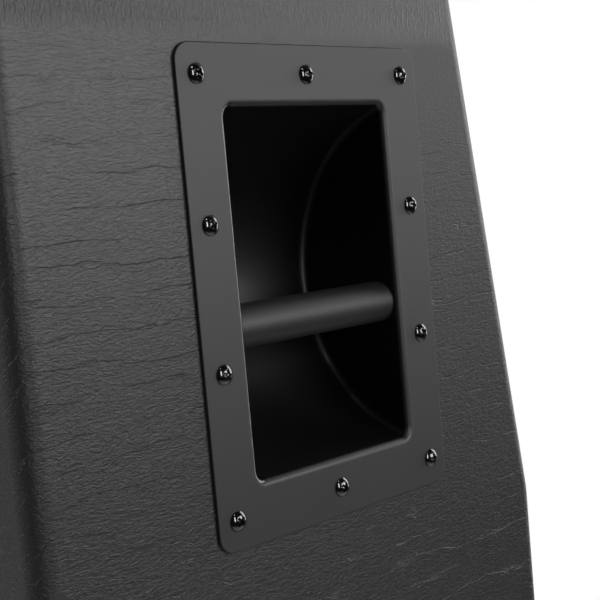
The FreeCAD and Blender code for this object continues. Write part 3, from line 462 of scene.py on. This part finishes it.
# %% Other finishes
def toned(name, dark, light, roughness, size_mm, metallic=0.0, ior=1.5, relief_mm=0.02, along=(1, 1, 1)):
    """Finish of two tones and a faint relief, both from one noise of a given size."""
    material, tree, shader, place = new_finish(name, dark, roughness, metallic, ior)
    stretched = add_node(tree, "ShaderNodeMapping", {"Scale": along}, {"Vector": place}).outputs[0]
    noise = add_node(tree, "ShaderNodeTexNoise", {"Scale": per_mm(size_mm), "Detail": 4.0},
                     {"Vector": stretched})
    tone = add_node(tree, "ShaderNodeMix", {"data_type": "RGBA", 6: linear(dark), 7: linear(light)},
                    {0: noise.outputs["Fac"]})
    tree.links.new(tone.outputs[2], shader.inputs["Base Color"])
    bump = add_node(tree, "ShaderNodeBump", {"Strength": 1.0, "Distance": relief_mm * millimetre},
                    {"Height": noise.outputs["Fac"]})
    tree.links.new(bump.outputs["Normal"], shader.inputs["Normal"])
    return material


veneer_stretch, sawn_stretch = (1, 1, 0.12), (1, 1, 0.1)
finishes = {
    "grained_vinyl": vinyl,
    # Baked powder on a round bar: an even black with one broad, soft highlight along it.
    "powder_coated_steel": toned("satin_black_powder_coat", "#131313", "#171717", 0.52, peel_mm,
                                 relief_mm=peel_relief_mm),
    # Stoved lacquer: nearly black and mirror-like, so that the lamps show as small sharp highlights.
    "black_screw": toned("black_lacquered_steel", "#020202", "#040404", 0.12, 1.5, ior=1.8, relief_mm=0.002),
    # Spark-eroded mould: fine grain that keeps the corner caps dull.
    "corner_plastic": toned("moulded_black_abs", "#1b1b1b", "#222222", 0.5, 0.8, relief_mm=0.05),
    # Cured rubber: dusty black with hardly any sheen.
    "foot_rubber": toned("black_rubber", "#161616", "#1d1d1d", 0.75, 1.2, relief_mm=0.03),
    "grille_cloth": grille_weave,
    # Extruded bead: smooth, with a thin bright line along its top.
    "piping": toned("black_pvc_piping", "#1c1c1c", "#232323", 0.4, 3.0, relief_mm=0.02),
    # Polished mould: a little shinier than the caps.
    "dish_plastic": toned("satin_black_abs", "#1a1a1a", "#202020", 0.45, 0.7, relief_mm=0.02),
    # Gloss nylon: clear highlights round the mouth of each socket.
    "jack_plastic": toned("gloss_black_nylon", "#121212", "#161616", 0.25, 2.0, relief_mm=0.01),
    # Bright plate: warm and mirror-like with faint machining haze.
    "nickel": toned("nickel_plate", "#b9b5ab", "#c6c2b8", 0.2, 1.0, metallic=1.0, relief_mm=0.003),
    # Dipped paint on pressed steel: dark grey with a soft gloss.
    "frame_steel": toned("grey_painted_steel", "#3a3b3d", "#424345", 0.4, 1.2, relief_mm=0.01),
    # Sintered ceramic: charcoal grey and dull, with fine pores.
    "magnet_iron": toned("sintered_ferrite", "#37383a", "#484848", 0.6, 1.0, relief_mm=0.03),
    # Felted pulp: fibres that make it matt and slightly mottled.
    "cone_paper": toned("pressed_paper_pulp", "#3a3835", "#4d4a45", 0.85, 3.0, relief_mm=0.15),
    # Cloth stiffened with resin: amber brown with the weave still in its surface.
    "suspension_cloth": toned("doped_cloth", "#4a3c28", "#5b4a32", 0.7, 1.0, relief_mm=0.08),
    # Pressed fibre: tan card, matt.
    "gasket_card": toned("pressed_fibre_card", "#7d6a50", "#94805f", 0.9, 2.0, relief_mm=0.05),
    # Zinc plate: pale silver, with cloudy passivation.
    "zinc_steel": toned("zinc_plated_steel", "#a9aaa8", "#bdbcb4", 0.3, 2.0, metallic=1.0, relief_mm=0.004),
    # Hot-tinned brass: pale yellow metal with a soft gloss.
    "tag_brass": toned("tinned_brass", "#b59a56", "#c4ab6b", 0.3, 1.5, metallic=1.0, relief_mm=0.004),
    # Peeled veneer: pale wood with streaks along the grain.
    "plywood": toned("birch_plywood", "#b08d5e", "#c9a877", 0.7, 4.0, relief_mm=0.05, along=veneer_stretch),
    # Sawn softwood: warmer and rougher, with wider streaks.
    "pine": toned("sawn_pine", "#b98f58", "#d3ad74", 0.75, 5.0, relief_mm=0.1, along=sawn_stretch),
}
own_finishes = {"back_panel_vinyl": back_vinyl, "left_handle_dish": dish_coat,
                "right_handle_dish": dish_coat}
for row in frame["record"]["subparts"]:
    for holder in nodes[row["node"]].material_slots:
        holder.material = own_finishes.get(row["node"], finishes[row["material_slot"]])
print("finishes:", len(finishes), "nodes with a finish of their own:", list(own_finishes))

# %% [markdown]
# ## Screws
# The handle is held by dome-head wood screws with a cross recess, and the corners, the back panel and the
# jack dish by smaller pan heads. A screw is a turned part, so its outline is drawn as a line of points and
# spun round its axis. The recess is a tapered cross with a pointed floor, cut out with a Boolean as a
# punch would press it. The CAD screws tell where each one sits. Neighbours are driven to different angles.

# %% Turned pieces
dome_radius, dome_rim, dome_height = 5.3, 0.7, 3.0
dome_steps, turn_steps = 9, 40


def start_mesh(name, position):
    """New object in edit mode that holds one vertex at a position."""
    bpy.ops.object.select_all(action="DESELECT")
    bpy.ops.mesh.primitive_plane_add(size=millimetre, location=(0, 0, 0))
    piece = bpy.context.object
    piece.name = name
    bpy.ops.object.mode_set(mode="EDIT")
    bpy.ops.mesh.select_mode(type="VERT")
    bpy.ops.mesh.select_all(action="SELECT")
    bpy.ops.mesh.merge(type="CENTER")
    bpy.ops.transform.translate(value=position)
    return piece


def turned_piece(name, outline, steps):
    """Solid spun round the Z axis from an outline of radius and height, in millimetres."""
    points = [Vector((radius, 0, height)) * millimetre for radius, height in outline]
    piece = start_mesh(name, points[0])
    for here, there in zip(points, points[1:]):
        bpy.ops.mesh.extrude_region_move(TRANSFORM_OT_translate={"value": there - here})
    bpy.ops.mesh.select_all(action="SELECT")
    bpy.ops.mesh.spin(steps=steps, angle=2 * math.pi, center=(0, 0, 0), axis=(0, 0, 1))
    bpy.ops.mesh.select_all(action="SELECT")
    bpy.ops.mesh.remove_doubles(threshold=0.001 * millimetre)
    bpy.ops.mesh.normals_make_consistent(inside=False)
    bpy.ops.object.mode_set(mode="OBJECT")
    return piece


def dome_points(radius, rim, height, count):
    """Outline of a round dome from its rim to its crown."""
    rise = height - rim
    ball = (radius ** 2 + rise ** 2) / (2 * rise)
    widest = math.asin(radius / ball)
    angles = [widest * (1 - index / count) for index in range(count + 1)]
    return [(ball * math.sin(angle), height - ball * (1 - math.cos(angle))) for angle in angles]


print("outline of the dome:", dome_points(dome_radius, dome_rim, dome_height, dome_steps))

# %% Cross punch
punch_taper, punch_point = 0.65, 0.15


def select_faces(piece, wanted):
    """Selects the faces of a piece in edit mode that a test keeps."""
    bpy.ops.object.mode_set(mode="OBJECT")
    for face in piece.data.polygons:
        face.select = face.select or wanted(face)
    bpy.ops.object.mode_set(mode="EDIT")


def cross_punch(span, width, top, depth):
    """Punch of the recess: a square bar with an arm drawn out of each side, tapered to a point below."""
    bpy.ops.object.select_all(action="DESELECT")
    bpy.ops.mesh.primitive_cube_add(size=1.0, location=(0, 0, 0))
    punch = bpy.context.object
    punch.scale = (width * millimetre, width * millimetre, depth * millimetre)
    punch.location = (0, 0, (top - depth / 2) * millimetre)
    bpy.ops.object.transform_apply()
    bpy.ops.object.mode_set(mode="EDIT")
    bpy.ops.mesh.select_mode(type="FACE")
    beside = width * millimetre / 4
    for way in ((1, 0), (-1, 0), (0, 1), (0, -1)):
        bpy.ops.mesh.select_all(action="DESELECT")
        out = Vector((*way, 0))
        across = Vector((way[1], way[0], 0))
        select_faces(punch, lambda face: face.normal.dot(out) > 0.9
                     and abs(face.center.dot(across)) < beside)
        step = out * (span - width) / 2 * millimetre
        bpy.ops.mesh.extrude_region_move(TRANSFORM_OT_translate={"value": step})
    bpy.ops.mesh.select_all(action="DESELECT")
    select_faces(punch, lambda face: face.normal.z < -0.9)
    bpy.ops.transform.resize(value=(punch_taper, punch_taper, 1), center_override=(0, 0, 0))
    bpy.ops.mesh.extrude_region_move(TRANSFORM_OT_translate={"value": (0, 0, -depth / 3 * millimetre)})
    bpy.ops.transform.resize(value=(punch_point, punch_point, 1), center_override=(0, 0, 0))
    bpy.ops.mesh.select_all(action="SELECT")
    bpy.ops.mesh.normals_make_consistent(inside=False)
    bpy.ops.object.mode_set(mode="OBJECT")
    return punch


print("punch narrows to", punch_taper, "of its width")

# %% One screw of each kind
def cross_screw(name, radius, rim, height, shank, length, span, width, depth):
    """Screw that faces +Z, with the underside of its head at zero and a cross pressed into its head."""
    # Lengths of the tip, of its blunt end and of the head's broken edge, and how far the punch stands out.
    tip, blunt, edge, proud = 3.0, 0.4, 0.15, 0.4
    outline = [(0, -length), (shank * 0.3, -length + blunt), (shank, tip - length), (shank, 0),
               (radius - edge, 0), (radius, edge), (radius, rim - 0.2)]
    screw = turned_piece(name, outline + dome_points(radius, rim, height, dome_steps), turn_steps)
    punch = cross_punch(span, width, height + proud, depth + proud)
    cut = screw.modifiers.new("recess", "BOOLEAN")
    cut.object = punch
    cut.operation = "DIFFERENCE"
    cut.solver = "EXACT"
    soft = screw.modifiers.new("pressed_edges", "BEVEL")
    soft.width = 0.12 * millimetre
    soft.segments = 2
    soft.limit_method = "ANGLE"
    soft.angle_limit = math.radians(38)
    bpy.ops.object.select_all(action="DESELECT")
    screw.select_set(True)
    bpy.context.view_layer.objects.active = screw
    for modifier in list(screw.modifiers):
        bpy.ops.object.modifier_apply(modifier=modifier.name)
    bpy.ops.object.shade_smooth_by_angle(angle=math.radians(32))
    bpy.data.objects.remove(punch)
    return screw


pan_height = 2.4
dome_pattern = cross_screw("dome_screw_pattern", radius=dome_radius, rim=dome_rim, height=dome_height,
                           shank=2.2, length=16.0, span=6.4, width=1.9, depth=2.3)
pan_pattern = cross_screw("pan_screw_pattern", radius=4.2, rim=0.9, height=pan_height,
                          shank=1.9, length=14.0, span=4.9, width=1.4, depth=1.8)
print("screw faces:", len(dome_pattern.data.polygons), len(pan_pattern.data.polygons))

# %% Screws at their CAD places
def screw_seats(node):
    """Top of the crown and outward direction of each screw of a CAD node, from its loose solids."""
    mesh = nodes[node].data
    first = {}
    same = [first.setdefault(tuple(round(c, 6) for c in vertex.co), vertex.index)
            for vertex in mesh.vertices]
    group = list(range(len(same)))

    def root(index):
        while group[index] != index:
            group[index] = group[group[index]]
            index = group[index]
        return index

    for face in mesh.polygons:
        corners = [same[index] for index in face.vertices]
        for corner in corners[1:]:
            group[root(corner)] = root(corners[0])
    solids = {}
    for vertex in mesh.vertices:
        solids.setdefault(root(same[vertex.index]), []).append(vertex.co)
    seats = []
    for points in solids.values():
        low = Vector(min(point[axis] for point in points) for axis in range(3))
        high = Vector(max(point[axis] for point in points) for axis in range(3))
        middle = (low + high) / 2
        axis = max(range(3), key=lambda index: high[index] - low[index])
        out = Vector((0, 0, 0))
        out[axis] = math.copysign(1, middle[axis] - cabinet_middle[axis])
        crown = middle.copy()
        crown[axis] = high[axis] if out[axis] > 0 else low[axis]
        seats.append((crown, out))
    return sorted(seats, key=lambda seat: tuple(seat[0]))


def drive_screws(node, pattern, head_height):
    """Copies a pattern screw to every place of a CAD screw node, each with its own mesh and angle."""
    for index, (crown, out) in enumerate(screw_seats(node)):
        screw = pattern.copy()
        screw.data = pattern.data.copy()
        screw.name = f"{node[:-1]}_{index + 1:02d}"
        bpy.context.scene.collection.objects.link(screw)
        angle = math.radians(37 * index % 90)
        facing = out.to_track_quat("Z", "Y").to_matrix().to_4x4()
        foot = crown - out * head_height * millimetre
        screw.data.transform(Matrix.Translation(foot) @ facing @ Matrix.Rotation(angle, 4, "Z"))
        screw.data.materials.clear()
        screw.data.materials.append(finishes["black_screw"])
        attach(screw, "cabinet")
        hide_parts(node)
    print(node, index + 1)


drive_screws("handle_screws", dome_pattern, dome_height)
for node in ("corner_screws", "back_panel_screws", "jack_dish_screws"):
    drive_screws(node, pan_pattern, pan_height)
bpy.data.objects.remove(dome_pattern)
bpy.data.objects.remove(pan_pattern)

# %% [markdown]
# ## Grille cloths
# Each grille frame has one piece of cloth stretched over its front and pulled round its edges, where it is
# stapled behind. Cloth under tension is flat, so no simulation is needed: a grid lies on the front of the
# CAD solid, its border is drawn back along the frame's edges, and the bend is rounded with a bevel. The
# grid is made flat at the origin and turned last, because the upper front leans back.

# %% Two stretched cloths
cloth_inset, cloth_bend, cloth_thickness = 0.1 * millimetre, 3.0 * millimetre, 0.8 * millimetre


def stretched_cloth(node, out):
    """Cloth over the front of a frame that faces a direction, just inside the CAD solid of the cloth."""
    across = Vector((1, 0, 0))
    turn = Matrix((across, out.cross(across), out)).transposed()
    points = [turn.transposed() @ vertex.co for vertex in nodes[node].data.vertices]
    low = Vector(min(point[axis] for point in points) for axis in range(3))
    high = Vector(max(point[axis] for point in points) for axis in range(3))
    width, length, wrap = high - low - 2 * cloth_inset * Vector((1, 1, 1))
    bpy.ops.object.select_all(action="DESELECT")
    bpy.ops.mesh.primitive_grid_add(x_subdivisions=24, y_subdivisions=12, size=1.0, location=(0, 0, 0))
    cloth = bpy.context.object
    cloth.name = f"{node}_sheet"
    cloth.scale = (width, length, 1.0)
    bpy.ops.object.transform_apply()
    bpy.ops.object.mode_set(mode="EDIT")
    bpy.ops.mesh.select_all(action="SELECT")
    bpy.ops.mesh.region_to_loop()
    bpy.ops.mesh.extrude_region_move(TRANSFORM_OT_translate={"value": (0, 0, -wrap)})
    bpy.ops.mesh.select_all(action="SELECT")
    bpy.ops.mesh.normals_make_consistent(inside=False)
    bpy.ops.mesh.select_all(action="DESELECT")
    bpy.ops.mesh.edges_select_sharp(sharpness=math.radians(40))
    bpy.ops.mesh.bevel(offset=cloth_bend, segments=4)
    bpy.ops.object.mode_set(mode="OBJECT")
    wall = cloth.modifiers.new("cloth_thickness", "SOLIDIFY")
    wall.thickness = cloth_thickness
    wall.offset = -1.0
    bpy.ops.object.modifier_apply(modifier=wall.name)
    bpy.ops.object.shade_smooth_by_angle(angle=math.radians(40))
    middle = Vector(((low.x + high.x) / 2, (low.y + high.y) / 2, high.z - cloth_inset))
    cloth.data.transform(Matrix.Translation(turn @ middle) @ turn.to_4x4())
    cloth.data.materials.append(finishes["grille_cloth"])
    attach(cloth, "cabinet")
    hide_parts(node)


travel = {row["child"]: Vector(row["axis"]) for row in frame["record"]["behaviour"]["joints"]}
stretched_cloth("lower_grille_cloth", travel["lower_left_cone"])
stretched_cloth("upper_grille_cloth", travel["upper_left_cone"])

# %% [markdown]
# ## Suspensions
# A cone hangs in its frame by two rings of doped cloth: a surround at its rim and a spider on its voice
# coil. The cloth gives way as the cone travels, and a CAD solid is stiff, so the cone's collar would cut
# into the spider. A copy of the CAD solid keeps the ripples. The spider's inner edge is drawn back into a
# shallow cup, with the ripples following less and less towards the border, as proportional editing does.
# The border stays on its ledge, and the inner edge stands back by the depth of the cup.

# %% Four suspensions
cup = 10.0 * millimetre
cup_reach = 34.0 * millimetre
coil_reach = 24.0 * millimetre


def cupped_suspension(speaker):
    """Copy of a CAD suspension with its spider's inner edge drawn back into a shallow cup."""
    node, cone = f"{speaker}_suspension", f"{speaker}_cone"
    back = -travel[cone]
    piece = bpy.data.objects.new(f"{node}_cloth", nodes[node].data.copy())
    bpy.context.scene.collection.objects.link(piece)
    bpy.ops.object.select_all(action="DESELECT")
    piece.select_set(True)
    bpy.context.view_layer.objects.active = piece
    bpy.ops.object.mode_set(mode="EDIT")
    bpy.ops.mesh.select_mode(type="VERT")
    bpy.ops.mesh.select_all(action="SELECT")
    bpy.ops.mesh.remove_doubles(threshold=0.01 * millimetre)
    bpy.ops.mesh.customdata_custom_splitnormals_clear()
    bpy.ops.mesh.select_all(action="DESELECT")
    bpy.ops.object.mode_set(mode="OBJECT")
    points = [vertex.co for vertex in piece.data.vertices]
    middle = sum(points, Vector()) / len(points)
    for vertex in piece.data.vertices:
        vertex.select = (vertex.co - middle).cross(back).length < coil_reach
    bpy.ops.object.mode_set(mode="EDIT")
    bpy.ops.transform.translate(value=cup * back, use_proportional_edit=True,
                                proportional_edit_falloff="LINEAR", proportional_size=cup_reach)
    bpy.ops.object.mode_set(mode="OBJECT")
    bpy.ops.object.shade_smooth_by_angle(angle=math.radians(40))
    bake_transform(piece)
    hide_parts(node)
    print(piece.name, "faces:", len(piece.data.polygons))


for cone in travel:
    cupped_suspension(cone.removesuffix("_cone"))
